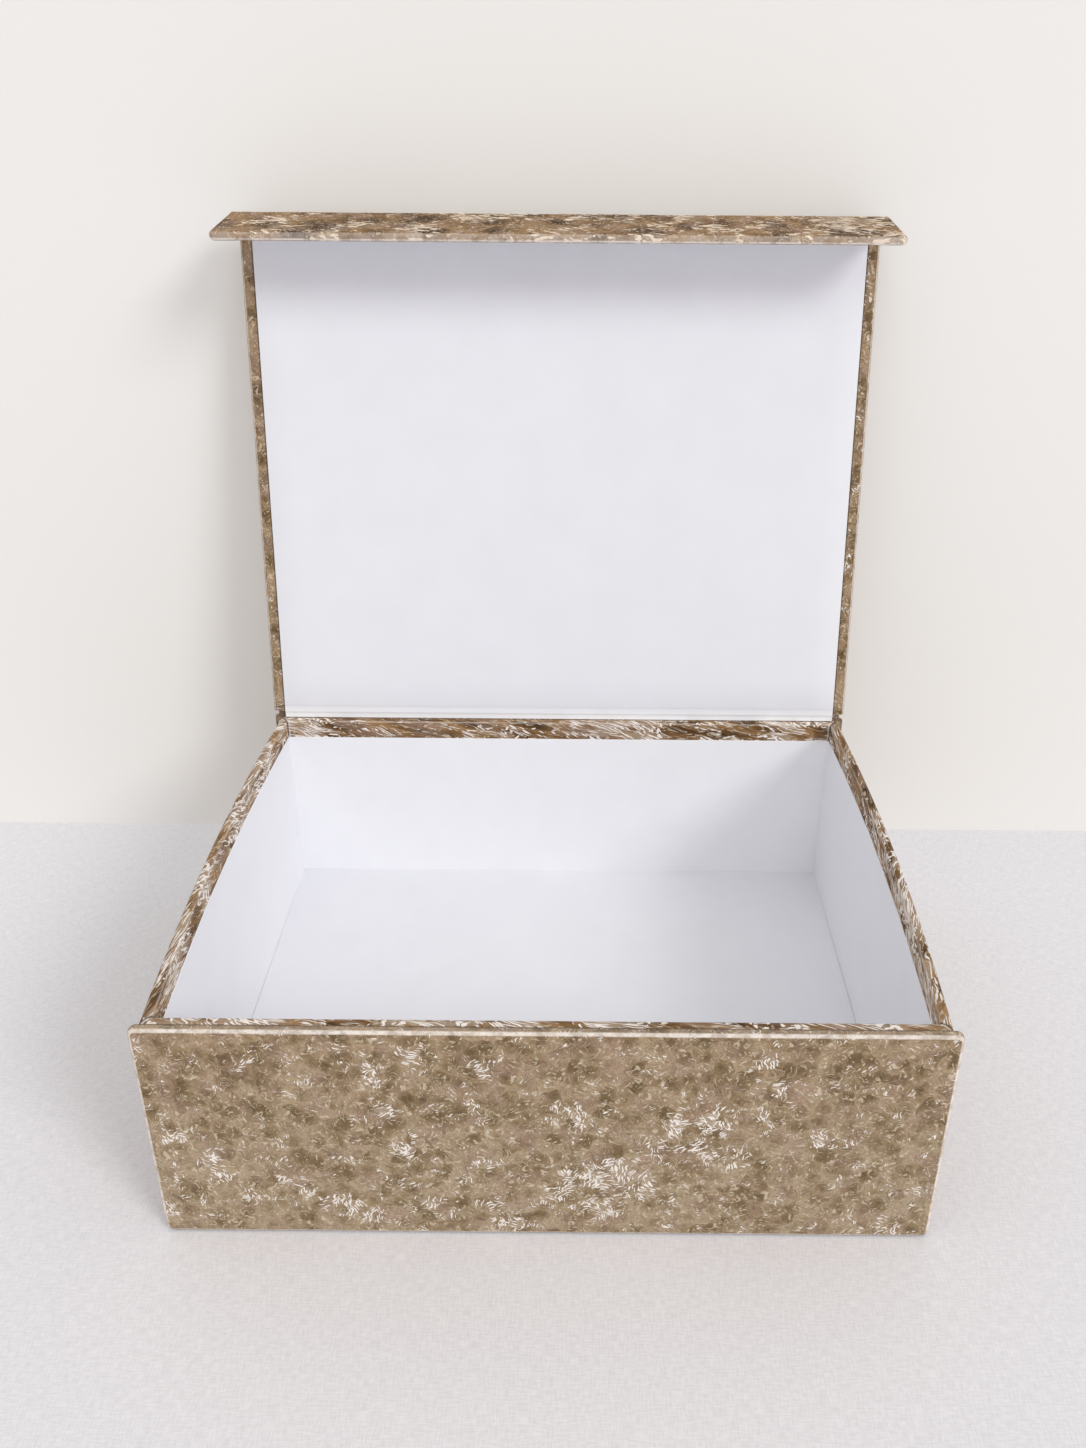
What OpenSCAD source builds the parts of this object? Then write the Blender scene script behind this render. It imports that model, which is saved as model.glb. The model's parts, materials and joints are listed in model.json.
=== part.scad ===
// Book-style photo storage box: a covered tray glued into a wrap-round case of covered boards,
// with a hinged lid and a narrow front flap that magnets hold shut.
// Millimetres. +Z is up, -Y is the front, and the origin is the middle of the underside.
// The lid is drawn standing open. Its own shapes are laid out shut, and then turned on the hinge.

/* [Case] */
// Width of the front board, spine, base and lid
case_w = 300; // [180:1:420]
// Depth from the front board's face to the spine's face
case_d = 242; // [150:1:340]
// Height of the front board
case_h = 103.5; // [60:0.5:160]
// Radius of the boards' corners, seen face on
corner_r = 3; // [2:0.5:8]
// Radius of the covered boards' soft edges
edge_r = 1.6; // [0.5:0.1:1.9]

/* [Board and cloth] */
// Thickness of the case's greyboard
case_board_t = 2.5; // [1.5:0.1:4]
// Thickness of the tray's greyboard
tray_board_t = 2.5; // [1.5:0.1:4]
// Thickness of the glued velvet
velvet_t = 0.75; // [0.4:0.05:1]
// Thickness of the glue under the cloth and the paper at the folds
glue_t = 0.02; // [0.01:0.01:0.05]
// Width of the velvet turned in behind the case's boards
turn_in_case = 15; // [9:1:20]
// Width of the velvet turned in behind the lid's board
turn_in_lid = 20; // [9:1:30]
// Width of the velvet turned in behind the flap's board
turn_in_flap = 12; // [8:1:14]

/* [Tray] */
// How far the case's boards stand out past the tray at each side
square = 3.3; // [0:0.1:8]
// How far the tray's rim lies under the front board's top
rim_drop = 0.6; // [0:0.1:4]
// How far each side wall bows out at the middle of its rim
side_bow = 4; // [0:0.5:8]
// Radius of the velvet where it turns over the rim
rim_r = 1.5; // [0.8:0.1:1.9]
// Depth of the velvet turned over the rim into the tray
rim_turn_in = 10; // [5:1:30]
// How far the lining cards stand proud of the turned-in velvet
lining_proud = 0.25; // [0:0.05:1]
// Thickness of the loose floor card
floor_card_t = 2.5; // [0.5:0.1:5]
// Clearance between the floor card and the wall linings
floor_card_gap = 0.3; // [0.1:0.1:2]

/* [Lid] */
// Angle that the lid stands open, from shut
lid_open = 99; // [0:1:110]
// Clearance between the front board's top and the shut lid
lid_seat_gap = 0.4; // [0.2:0.1:2]
// How far the lid's front edge passes the front board's face
lid_over = 0.4; // [0:0.1:2]
// How far the lid's rear edge lies in front of the spine's face
lid_rear_in = 0.5; // [0:0.1:1.5]
// Distance of the lid's hinge line in front of the spine's face
hinge_in = 1.2; // [0.8:0.1:2]
// Height of the lid's hinge line over the shut lid's inner face
hinge_up = 2.8; // [2:0.1:4]
// Velvet left showing round the lid's lining card
lid_margin = 6; // [3:0.5:15]
// Length of the paper strip glued to the lid at its hinge
strip_on_lid = 3; // [1:0.5:8]
// Thickness of the lid's and the flap's lining cards
lining_t = 0.6; // [0.4:0.1:0.6]
// Thickness of the paper strips in the hinges
strip_t = 0.3; // [0.2:0.05:0.35]

/* [Flap] */
// Width of the flap
flap_w = 306; // [180:1:430]
// Length of the flap from its hinge to its lower edge
flap_l = 41; // [34:1:60]
// Clearance between the front board and the shut flap's velvet
flap_gap = 0.9; // [0.8:0.1:2]
// How far the flap's hinged edge lies under the lid's inner face
flap_drop = 0.4; // [0.2:0.1:1.5]
// Angle that the open flap sags past square
flap_droop = 15; // [0:1:15]
// Velvet left showing round the flap's lining card
flap_margin = 6; // [3:0.5:10]

/* [Magnets] */
// Diameter of the disc magnets
magnet_d = 12; // [6:0.5:16]
// Thickness of the disc magnets
magnet_t = 1.8; // [0.5:0.1:2.2]
// Diameter of the steel discs
steel_d = 14; // [6:0.5:20]
// Thickness of the steel discs
steel_t = 0.8; // [0.5:0.1:1.5]
// Distance between the two magnets
magnet_spacing = 200; // [60:5:280]
// Height of the magnets over the flap's lower edge
magnet_up = 16; // [13:1:22]
// Radial clearance of the discs in their pockets
disc_gap = 0.1; // [0.05:0.05:0.5]

/* [Hidden] */
$fn = 48;
BOW_STEPS = 14;
RIM_STEPS = 4;
CUT = 1;
velvet_colour = "#a08c70";
board_colour = "#9a9288";
lining_colour = "#e9e9ee";
metal_colour = "#b9bcc0";

// Covered thicknesses
case_t = case_board_t + 2 * velvet_t;
tray_t = tray_board_t + 2 * velvet_t;
tray_lining_t = velvet_t + lining_proud;

// Tray: half sizes of its outside, and its heights
tray_hw = case_w / 2 - square;
tray_hd = case_d / 2 - case_t;
tray_z = case_t;
rim_z = case_h - rim_drop;
floor_z = tray_z + tray_board_t;
lining_top_z = rim_z - rim_turn_in;
board_in = velvet_t + tray_board_t;
lining_in = board_in + tray_lining_t;

// Shut lid and flap
lid_z = case_h + lid_seat_gap;
lid_front_y = -case_d / 2 - lid_over;
lid_rear_y = case_d / 2 - lid_rear_in;
lid_l = lid_rear_y - lid_front_y;
flap_y = -case_d / 2 - flap_gap;
flap_top_z = lid_z - flap_drop;
magnet_z = flap_top_z - flap_l + magnet_up;

// Hinge lines of the shut box, each as [y, z]
lid_axis = [case_d / 2 - hinge_in, lid_z + hinge_up];
fold_axis = [lid_front_y, lid_z + case_t];
lift_axis = [(lid_front_y + flap_y - case_t) / 2, (lid_z + case_t + flap_top_z) / 2];

// A point [y, z] turned about a centre, as rotate([a, 0, 0]) does
function turned(p, c, a) =
    c + [(p - c)[0] * cos(a) - (p - c)[1] * sin(a), (p - c)[0] * sin(a) + (p - c)[1] * cos(a)];
function opened(p) = turned(p, lid_axis, -lid_open);
function drooped(p) = turned(p, fold_axis, flap_droop);

echo(lid_axis = lid_axis);
echo(fold_axis_at_rest = opened(fold_axis));
echo(lift_axis_at_rest = opened(drooped(lift_axis)));
echo(lid_open = lid_open, flap_droop = flap_droop);
echo(tray_inside = [tray_hw - lining_in, tray_hd - lining_in, floor_z + floor_card_t, rim_z]);

// Places: the shut lid and flap turned to where they stand open
module at_lid() {
    translate([0, lid_axis[0], lid_axis[1]]) rotate([-lid_open, 0, 0])
        translate([0, -lid_axis[0], -lid_axis[1]]) children();
}
module at_flap() {
    at_lid() translate([0, fold_axis[0], fold_axis[1]]) rotate([flap_droop, 0, 0])
        translate([0, -fold_axis[0], -fold_axis[1]]) children();
}
// Places of the case's panels: a panel lies with its outer face up and its length along +Y
module at_base() { translate([0, -tray_hd, case_t]) mirror([0, 0, 1]) children(); }
module at_front() { translate([0, -tray_hd, 0]) rotate([90, 0, 0]) children(); }
module at_spine() { mirror([0, 1, 0]) at_front() children(); }
module at_shut_lid() { translate([0, lid_front_y, lid_z]) children(); }
module at_shut_flap() { translate([0, flap_y, flap_top_z - flap_l]) rotate([90, 0, 0]) children(); }

// Rectangle with round corners, centred on x, from y = 0 to l
module round_rectangle(w, l, r) {
    translate([-w / 2 + r, 0]) square([w - 2 * r, l]);
    translate([-w / 2, r]) square([w, l - 2 * r]);
    for (x = [-w / 2 + r, w / 2 - r], y = [r, l - r]) translate([x, y]) circle(r);
}

// Section through a covered board: its edges are soft, apart from an edge where the cloth runs on
module board_section(l, t, r, soft_low, soft_high) {
    low = soft_low ? r : 0;
    high = soft_high ? r : 0;
    translate([low, 0]) square([l - low - high, t]);
    translate([0, r]) square([l, t - 2 * r]);
    for (y = [r, t - r]) {
        translate([r, y]) circle(r);
        translate([l - r, y]) circle(r);
    }
    if (!soft_low) square([r, t]);
    if (!soft_high) translate([l - r, 0]) square([r, t]);
}

// Covered board as a solid: its plan and both its sections, intersected
module covered_slab(w, l, t, soft_low, soft_high) {
    intersection() {
        linear_extrude(t) union() {
            round_rectangle(w, l, corner_r);
            if (!soft_low) translate([-w / 2, 0]) square([w, corner_r]);
            if (!soft_high) translate([-w / 2, l - corner_r]) square([w, corner_r]);
        }
        translate([-w / 2, l, 0]) rotate([90, 0, 0]) linear_extrude(l)
            board_section(w, t, edge_r, true, true);
        translate([-w / 2, 0, 0]) rotate([90, 0, 90]) linear_extrude(w)
            board_section(l, t, edge_r, soft_low, soft_high);
    }
}

// Greyboard of a panel, inside its velvet
module panel_board(w, l, board_t) {
    translate([0, velvet_t, velvet_t]) linear_extrude(board_t)
        round_rectangle(w - 2 * velvet_t, l - 2 * velvet_t, corner_r - velvet_t);
}

// Velvet of a panel: over the outer face and the edges, and turned in behind the board
module panel_cover(w, l, board_t, turn_in, soft_low = true, soft_high = true) {
    difference() {
        covered_slab(w, l, board_t + 2 * velvet_t, soft_low, soft_high);
        panel_board(w, l, board_t);
        translate([-w / 2 + turn_in, turn_in, -CUT])
            cube([w - 2 * turn_in, l - 2 * turn_in, CUT + velvet_t + board_t / 2]);
    }
}

// Lining card of a panel, with the filler sheet that levels the turned-in velvet
module panel_lining(w, l, turn_in, margin, margin_low, margin_high) {
    translate([-w / 2 + margin, margin_low, -lining_t])
        cube([w - 2 * margin, l - margin_low - margin_high, lining_t]);
    translate([-w / 2 + turn_in, turn_in, -lining_t / 2])
        cube([w - 2 * turn_in, l - 2 * turn_in, lining_t / 2 + velvet_t]);
}

// Discs, or their pockets, in a standing panel. z_low and z_high are measured from its inner face
module disc_pair(d, z_low, z_high) {
    for (x = [-magnet_spacing / 2, magnet_spacing / 2])
        translate([x, 0, z_low]) cylinder(d = d, h = z_high - z_low);
}

// Outward bow of a side wall at a station s, from -1 at the front to 1 at the rear
function bow(s, z) = side_bow * (1 - s * s) * (z - tray_z) / (rim_z - tray_z);
// Point of the tray's wall: side -1 is left, inset is measured in from the tray's outside
function wall_point(side, s, inset, z) =
    [side * (tray_hw - inset + bow(s, z)), s * (tray_hd - inset), z];
// Stations along one side wall, in the order that goes round the tray
function stations(side) = [for (i = [0 : BOW_STEPS]) [side, -side * (2 * i / BOW_STEPS - 1)]];

// Sweep of a profile of [inset, z] points along stations, as one closed polyhedron.
// Each four-sided cell is split from its low corner at one station to its high corner at the next.
module wall_sweep(path, profile, closed) {
    n = len(path);
    m = len(profile);
    points = [for (s = path, p = profile) wall_point(s[0], s[1], p[0], p[1])];
    rows = closed ? n : n - 1;
    skin = [for (i = [0 : rows - 1], j = [0 : m - 1], half = [0, 1])
        let (k = (j + 1) % m, i2 = (i + 1) % n,
             a = i * m + j, b = i * m + k, c = i2 * m + k, d = i2 * m + j,
             rising = profile[j][1] < profile[k][1])
        rising ? (half == 0 ? [a, b, c] : [a, c, d]) : (half == 0 ? [a, b, d] : [b, c, d])];
    ends = closed ? [] : [[0, for (j = [m - 1 : -1 : 1]) j], [for (j = [0 : m - 1]) (n - 1) * m + j]];
    polyhedron(points = points, faces = concat(skin, ends));
}

// Mitred straight wall at the front (-1) or the rear (1) of the tray, between two insets
module end_wall(end, inset_a, inset_b, z_low, z_high) {
    xa = tray_hw - inset_a;
    xb = tray_hw - inset_b;
    ya = end * (tray_hd - inset_a);
    yb = end * (tray_hd - inset_b);
    translate([0, 0, z_low]) linear_extrude(z_high - z_low)
        polygon([[-xa, ya], [xa, ya], [xb, yb], [-xb, yb]]);
}

module side_board(side) {
    wall_sweep(stations(side), [
        [velvet_t, tray_z], [velvet_t, rim_z - velvet_t], [board_in, rim_z - velvet_t],
        [board_in, lining_top_z], [board_in, floor_z], [board_in, tray_z]
    ], false);
}

module side_lining(side) {
    wall_sweep(stations(side), [
        [board_in, floor_z], [board_in, lining_top_z], [lining_in, lining_top_z], [lining_in, floor_z]
    ], false);
}

// Polygon of [y, z] points extruded across the box
module across(w, points) {
    translate([-w / 2, 0, 0]) rotate([90, 0, 90]) linear_extrude(w) polygon(points);
}

module base_cover() {
    color(velvet_colour) at_base() panel_cover(case_w, 2 * tray_hd, case_board_t, turn_in_case, false, false);
}
module base_board() {
    color(board_colour) at_base() panel_board(case_w, 2 * tray_hd, case_board_t);
}
module front_cover() {
    color(velvet_colour) at_front() panel_cover(case_w, case_h, case_board_t, turn_in_case);
}
module front_board() {
    color(board_colour) at_front() difference() {
        panel_board(case_w, case_h, case_board_t);
        translate([0, magnet_z, 0])
            disc_pair(steel_d + 2 * disc_gap, case_t - velvet_t - steel_t, case_t + CUT);
    }
}
module steel_discs() {
    color(metal_colour) at_front() translate([0, magnet_z, 0])
        disc_pair(steel_d, case_t - velvet_t - steel_t, case_t - velvet_t);
}
module spine_cover() {
    color(velvet_colour) at_spine() panel_cover(case_w, rim_z, case_board_t, turn_in_case, true, false);
}
module spine_board() {
    color(board_colour) at_spine() panel_board(case_w, rim_z, case_board_t);
}

module tray_floor_board() {
    color(board_colour) translate([-(tray_hw - board_in), -(tray_hd - board_in), tray_z])
        cube([2 * (tray_hw - board_in), 2 * (tray_hd - board_in), tray_board_t]);
}
module tray_left_wall() { color(board_colour) side_board(-1); }
module tray_right_wall() { color(board_colour) side_board(1); }
module tray_front_wall() {
    color(board_colour) end_wall(-1, velvet_t, board_in, tray_z, rim_z - velvet_t);
}
module tray_back_wall() {
    color(board_colour) end_wall(1, velvet_t, board_in, tray_z, rim_z - velvet_t);
}

// One strip of velvet round the whole tray, over the rim and down inside
module tray_wrap() {
    outer_arc = [for (i = [0 : RIM_STEPS]) let (a = 180 - 90 * i / RIM_STEPS)
        [rim_r + rim_r * cos(a), rim_z - rim_r + rim_r * sin(a)]];
    inner_arc = [for (i = [0 : RIM_STEPS]) let (a = 90 - 90 * i / RIM_STEPS)
        [tray_t - rim_r + rim_r * cos(a), rim_z - rim_r + rim_r * sin(a)]];
    color(velvet_colour) wall_sweep(concat(stations(-1), stations(1)), concat(
        [[0, tray_z]], outer_arc, inner_arc,
        [[tray_t, lining_top_z], [board_in, lining_top_z], [board_in, rim_z - velvet_t],
         [velvet_t, rim_z - velvet_t], [velvet_t, tray_z]]
    ), true);
}

module lining_left() { color(lining_colour) side_lining(-1); }
module lining_right() { color(lining_colour) side_lining(1); }
module lining_front() {
    color(lining_colour) end_wall(-1, board_in, lining_in, floor_z, lining_top_z);
}
module lining_back() {
    color(lining_colour) end_wall(1, board_in, lining_in, floor_z, lining_top_z);
}
module floor_card() {
    hw = tray_hw - lining_in - floor_card_gap;
    hd = tray_hd - lining_in - floor_card_gap;
    color(lining_colour) translate([-hw, -hd, floor_z]) cube([2 * hw, 2 * hd, floor_card_t]);
}

module lid_cover() {
    color(velvet_colour) at_lid() at_shut_lid()
        panel_cover(case_w, lid_l, case_board_t, turn_in_lid, false, false);
}
module lid_board() {
    color(board_colour) at_lid() at_shut_lid() panel_board(case_w, lid_l, case_board_t);
}
module lid_lining() {
    color(lining_colour) at_lid() at_shut_lid()
        panel_lining(case_w, lid_l, turn_in_lid, lid_margin, lid_margin, strip_on_lid);
}
// Velvet from the spine's top edge to the lid's rear edge
module lid_hinge_cloth() {
    color(velvet_colour) across(case_w - 2 * edge_r, [
        [case_d / 2 - velvet_t, rim_z], [case_d / 2, rim_z],
        opened([lid_rear_y, lid_z + case_t]), opened([lid_rear_y, lid_z + case_t - velvet_t])
    ]);
}
// Paper over the inside of the lid's hinge, from the lining card down to the rear rim
module lid_hinge_strip() {
    glued_z = lid_z - glue_t;
    end_y = lid_rear_y - strip_on_lid + glue_t;
    color(lining_colour) across(case_w - 2 * lid_margin, [
        [tray_hd, rim_z], opened([lid_rear_y, glued_z]), opened([end_y, glued_z]),
        opened([end_y, glued_z - strip_t]), opened([lid_rear_y, glued_z - strip_t]),
        [tray_hd - strip_t, rim_z]
    ]);
}

// Velvet from the lid's front edge to the flap's hinged edge
module flap_hinge_cloth() {
    glued_z = flap_top_z + glue_t;
    color(velvet_colour) at_lid() across(case_w - 2 * edge_r, [
        fold_axis - [glue_t, 0], fold_axis - [glue_t, velvet_t],
        drooped([flap_y - case_t + velvet_t, glued_z]), drooped([flap_y - case_t, glued_z])
    ]);
}
// Paper over the inside of the flap's hinge, from one lining card to the other
module flap_hinge_strip() {
    fold = 1.5 * strip_t + flap_drop;
    glued_z = lid_z - glue_t;
    glued_y = flap_y + glue_t;
    lid_end_y = lid_front_y + lid_margin - glue_t;
    flap_end_z = flap_top_z - flap_margin + glue_t;
    color(lining_colour) at_lid() across(case_w - 2 * lid_margin, [
        [lid_end_y, glued_z], [lid_end_y, glued_z - strip_t],
        [lid_front_y + fold + 3 * strip_t, glued_z - strip_t],
        drooped([glued_y + strip_t, flap_top_z - fold]), drooped([glued_y + strip_t, flap_end_z]),
        drooped([glued_y, flap_end_z]), drooped([glued_y, flap_top_z - fold]),
        [lid_front_y + fold + strip_t, glued_z]
    ]);
}
module flap_cover() {
    color(velvet_colour) at_flap() at_shut_flap()
        panel_cover(flap_w, flap_l, case_board_t, turn_in_flap, true, false);
}
module flap_board() {
    color(board_colour) at_flap() at_shut_flap() difference() {
        panel_board(flap_w, flap_l, case_board_t);
        translate([0, magnet_up, 0]) disc_pair(magnet_d + 2 * disc_gap, -CUT, velvet_t + magnet_t);
    }
}
module flap_magnets() {
    color(metal_colour) at_flap() at_shut_flap() translate([0, magnet_up, 0])
        disc_pair(magnet_d, velvet_t, velvet_t + magnet_t);
}
module flap_lining() {
    color(lining_colour) at_flap() at_shut_flap()
        panel_lining(flap_w, flap_l, turn_in_flap, flap_margin, flap_margin, flap_margin);
}

base_cover();
base_board();
front_cover();
front_board();
steel_discs();
spine_cover();
spine_board();
tray_floor_board();
tray_left_wall();
tray_right_wall();
tray_front_wall();
tray_back_wall();
tray_wrap();
lining_left();
lining_right();
lining_front();
lining_back();
floor_card();
lid_cover();
lid_board();
lid_lining();
lid_hinge_cloth();
lid_hinge_strip();
flap_hinge_cloth();
flap_hinge_strip();
flap_cover();
flap_board();
flap_magnets();
flap_lining();
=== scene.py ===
# %% [markdown]
# # A velvet photo box, standing open
#
# The box is bookbinder's work: flat boards wrapped in crushed velvet and lined with white card.
# This notebook dresses the measured model in cloth and paper. The measured model is the frame,
# in metres, with +Z up and the box's front towards -Y.

# %% Load the measured model
import json
import math

import bmesh
import bpy
from mathutils import Matrix, Vector, noise


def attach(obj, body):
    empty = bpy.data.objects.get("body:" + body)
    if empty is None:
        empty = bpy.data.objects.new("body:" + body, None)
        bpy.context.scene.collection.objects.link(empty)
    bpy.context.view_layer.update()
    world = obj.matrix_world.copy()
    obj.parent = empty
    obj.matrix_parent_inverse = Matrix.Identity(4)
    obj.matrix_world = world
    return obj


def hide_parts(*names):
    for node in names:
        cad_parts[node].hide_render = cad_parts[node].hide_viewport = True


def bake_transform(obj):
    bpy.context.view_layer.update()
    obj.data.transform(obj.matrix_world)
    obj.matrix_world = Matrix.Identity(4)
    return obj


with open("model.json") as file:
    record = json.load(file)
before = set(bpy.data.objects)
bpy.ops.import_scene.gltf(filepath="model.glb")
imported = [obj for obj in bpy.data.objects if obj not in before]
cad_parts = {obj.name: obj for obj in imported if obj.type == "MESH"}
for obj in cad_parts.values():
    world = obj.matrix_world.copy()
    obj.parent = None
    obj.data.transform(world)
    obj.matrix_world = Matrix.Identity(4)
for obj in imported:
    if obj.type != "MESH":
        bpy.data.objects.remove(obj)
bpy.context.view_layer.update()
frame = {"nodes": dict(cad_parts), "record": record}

# %% [markdown]
# ## The camera
#
# The photograph was taken from close in front, about 0.4 m above the table, looking down at the
# open box. The camera's place comes from the corners of the box, whose sizes are those of the
# measured model. A small shift holds the picture's framing. The camera looks along its own -Z, so
# its three axes are built from the angles: first the turn, then the tilt, then the roll.

# %% Camera
MM = 0.001
IMAGE_W, IMAGE_H = 1086, 1448
CAMERA_AT = Vector((11.6, -456.35, 410.77)) * MM
CAMERA_TILT, CAMERA_TURN, CAMERA_ROLL = (math.radians(a) for a in (27.177, 0.08, 0.425))
FOCAL_PX = 1232.43
CENTRE_PX = (579.5, 696.1)
SENSOR_MM = 36.0

ahead = Vector((-math.sin(CAMERA_TURN), math.cos(CAMERA_TURN), 0))
across = Vector((math.cos(CAMERA_TURN), math.sin(CAMERA_TURN), 0))
look = ahead * math.cos(CAMERA_TILT) - Vector((0, 0, math.sin(CAMERA_TILT)))
level_up = ahead * math.sin(CAMERA_TILT) + Vector((0, 0, math.cos(CAMERA_TILT)))
right = across * math.cos(CAMERA_ROLL) + level_up * math.sin(CAMERA_ROLL)
up = level_up * math.cos(CAMERA_ROLL) - across * math.sin(CAMERA_ROLL)

camera_data = bpy.data.cameras.new("camera")
camera_data.sensor_width = SENSOR_MM
camera_data.lens = FOCAL_PX * SENSOR_MM / IMAGE_H
camera_data.shift_x = (IMAGE_W / 2 - CENTRE_PX[0]) / IMAGE_H
camera_data.shift_y = (CENTRE_PX[1] - IMAGE_H / 2) / IMAGE_H
camera_data.clip_start = 0.01
camera = bpy.data.objects.new("camera", camera_data)
bpy.context.scene.collection.objects.link(camera)
camera.matrix_world = Matrix.Translation(CAMERA_AT) @ Matrix((right, up, -look)).transposed().to_4x4()
bpy.context.scene.camera = camera
print("lens", round(camera_data.lens, 2), "mm, shift",
      round(camera_data.shift_x, 4), round(camera_data.shift_y, 4))

# %% [markdown]
# ## The box's sizes
#
# Every piece is worked out from the same few sizes as the measured model, in millimetres.
# A covered board is 4 mm: 2.5 mm greyboard with 0.75 mm of glued velvet on each side.

# %% Sizes in millimetres
CASE_W, CASE_D, CASE_H = 300, 242, 103.5
BOARD, VELVET = 2.5, 0.75
COVERED = BOARD + 2 * VELVET
CORNER_R, EDGE_R = 3, 1.6
TURN_IN_CASE, TURN_IN_LID, TURN_IN_FLAP = 15, 20, 12
SQUARE, RIM_DROP, BOW, RIM_R, RIM_TURN_IN, PROUD = 3.3, 0.6, 4, 1.5, 10, 0.25
FLOOR_CARD = 2.5
LID_OPEN, LID_SEAT, LID_OVER, LID_REAR_IN = 99, 0.4, 0.4, 0.5
HINGE_IN, HINGE_UP, LID_MARGIN, STRIP_ON_LID, LINING, STRIP = 1.2, 2.8, 6, 3, 0.6, 0.3
FLAP_W, FLAP_L, FLAP_GAP, FLAP_DROP, FLAP_DROOP, FLAP_MARGIN = 306, 41, 0.9, 0.4, 15, 6

TRAY_HW, TRAY_HD, TRAY_Z = CASE_W / 2 - SQUARE, CASE_D / 2 - COVERED, COVERED
RIM_Z, FLOOR_Z = CASE_H - RIM_DROP, COVERED + BOARD
LINING_TOP_Z = RIM_Z - RIM_TURN_IN
BOARD_IN = VELVET + BOARD
LINING_IN = BOARD_IN + VELVET + PROUD
LID_Z = CASE_H + LID_SEAT
LID_FRONT_Y, LID_REAR_Y = -CASE_D / 2 - LID_OVER, CASE_D / 2 - LID_REAR_IN
LID_L = LID_REAR_Y - LID_FRONT_Y
FLAP_Y, FLAP_TOP_Z = -CASE_D / 2 - FLAP_GAP, LID_Z - FLAP_DROP
LID_AXIS = (CASE_D / 2 - HINGE_IN, LID_Z + HINGE_UP)
FOLD_AXIS = (LID_FRONT_Y, LID_Z + COVERED)


def turned_about(axis, degrees):
    """A turn about a line along X through (y, z)."""
    there = Matrix.Translation((0, axis[0], axis[1]))
    return there @ Matrix.Rotation(math.radians(degrees), 4, "X") @ there.inverted()


# Places of the panels: each is made flat, inner face down, and its length along +Y
AT_LID = turned_about(LID_AXIS, -LID_OPEN)
AT_FLAP = AT_LID @ turned_about(FOLD_AXIS, FLAP_DROOP)
PLACES = {
    "base": Matrix.Translation((0, -TRAY_HD, COVERED)) @ Matrix.Scale(-1, 4, (0, 0, 1)),
    "front": Matrix.Translation((0, -TRAY_HD, 0)) @ Matrix.Rotation(math.radians(90), 4, "X"),
    "lid": AT_LID @ Matrix.Translation((0, LID_FRONT_Y, LID_Z)),
    "flap": AT_FLAP @ Matrix.Translation((0, FLAP_Y, FLAP_TOP_Z - FLAP_L))
    @ Matrix.Rotation(math.radians(90), 4, "X"),
}
PLACES["spine"] = Matrix.Scale(-1, 4, (0, 1, 0)) @ PLACES["front"]
print("lid", LID_L, "mm long, opened to", LID_OPEN, "degrees")

# %% [markdown]
# ## One way to add a node
#
# Materials are trees of nodes. One small function adds any node with its settings and links, and
# another turns a colour written as sRGB hex into the linear light that the shader works in. The
# kinds of node that come up again and again have a function of their own, which gives the output.

# %% Node and colour helpers
def linear(hex_colour):
    """sRGB hex such as e8d8c8 as linear RGBA."""
    parts = [int(hex_colour[i:i + 2], 16) / 255 for i in (0, 2, 4)]
    return [p / 12.92 if p <= 0.04045 else ((p + 0.055) / 1.055) ** 2.4 for p in parts] + [1]


def node(tree, kind, inputs=None, **settings):
    """Adds a node. Each input is a value, or the output that it is linked to."""
    made = tree.nodes.new(kind)
    for name, value in settings.items():
        setattr(made, name, value)
    for key, value in (inputs or {}).items():
        if isinstance(value, bpy.types.NodeSocket):
            tree.links.new(value, made.inputs[key])
        else:
            made.inputs[key].default_value = value
    return made


def painted(tree, name):
    """The amount that the mesh's points carry under this name."""
    return node(tree, "ShaderNodeAttribute", attribute_name=name).outputs["Fac"]


def sums(tree, operation, first, second):
    """Two amounts joined by an operation such as ADD, MULTIPLY or MAXIMUM."""
    return node(tree, "ShaderNodeMath", {0: first, 1: second}, operation=operation).outputs[0]


def scaled(tree, vector, amount):
    """A colour or a vector times an amount."""
    return node(tree, "ShaderNodeVectorMath", {0: vector, "Scale": amount}, operation="SCALE").outputs[0]


def spread(tree, value, low, high, to_low=0.0, to_high=1.0):
    """The range from low to high drawn out to another one, and held at its ends."""
    return node(tree, "ShaderNodeMapRange", {"Value": value, "From Min": low, "From Max": high,
                                             "To Min": to_low, "To Max": to_high}).outputs[0]


def clouds(tree, place, size_mm, detail, dimensions="2D", output="Fac", **more):
    """Soft noise with spots about this many millimetres wide."""
    return node(tree, "ShaderNodeTexNoise", {"Vector": place, "Scale": 1 / (size_mm * MM),
                                             "Detail": detail, **more},
                noise_dimensions=dimensions).outputs[output]


def laid_over(tree, amount, under, over):
    """One colour over another, as strongly as the amount says."""
    return node(tree, "ShaderNodeMix", {"Factor": amount, 6: under, 7: over},
                data_type="RGBA").outputs[2]


def new_material(name):
    """An empty material with its tree."""
    material = bpy.data.materials.new(name)
    material.use_nodes = True
    material.node_tree.nodes.clear()
    return material, material.node_tree


def surfaced(material, shader):
    """The material with this shader as its surface."""
    node(material.node_tree, "ShaderNodeOutputMaterial", {"Surface": shader.outputs[0]})
    return material


print("mid grey 808080 is", round(linear("808080")[0], 3), "of full light")


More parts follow.
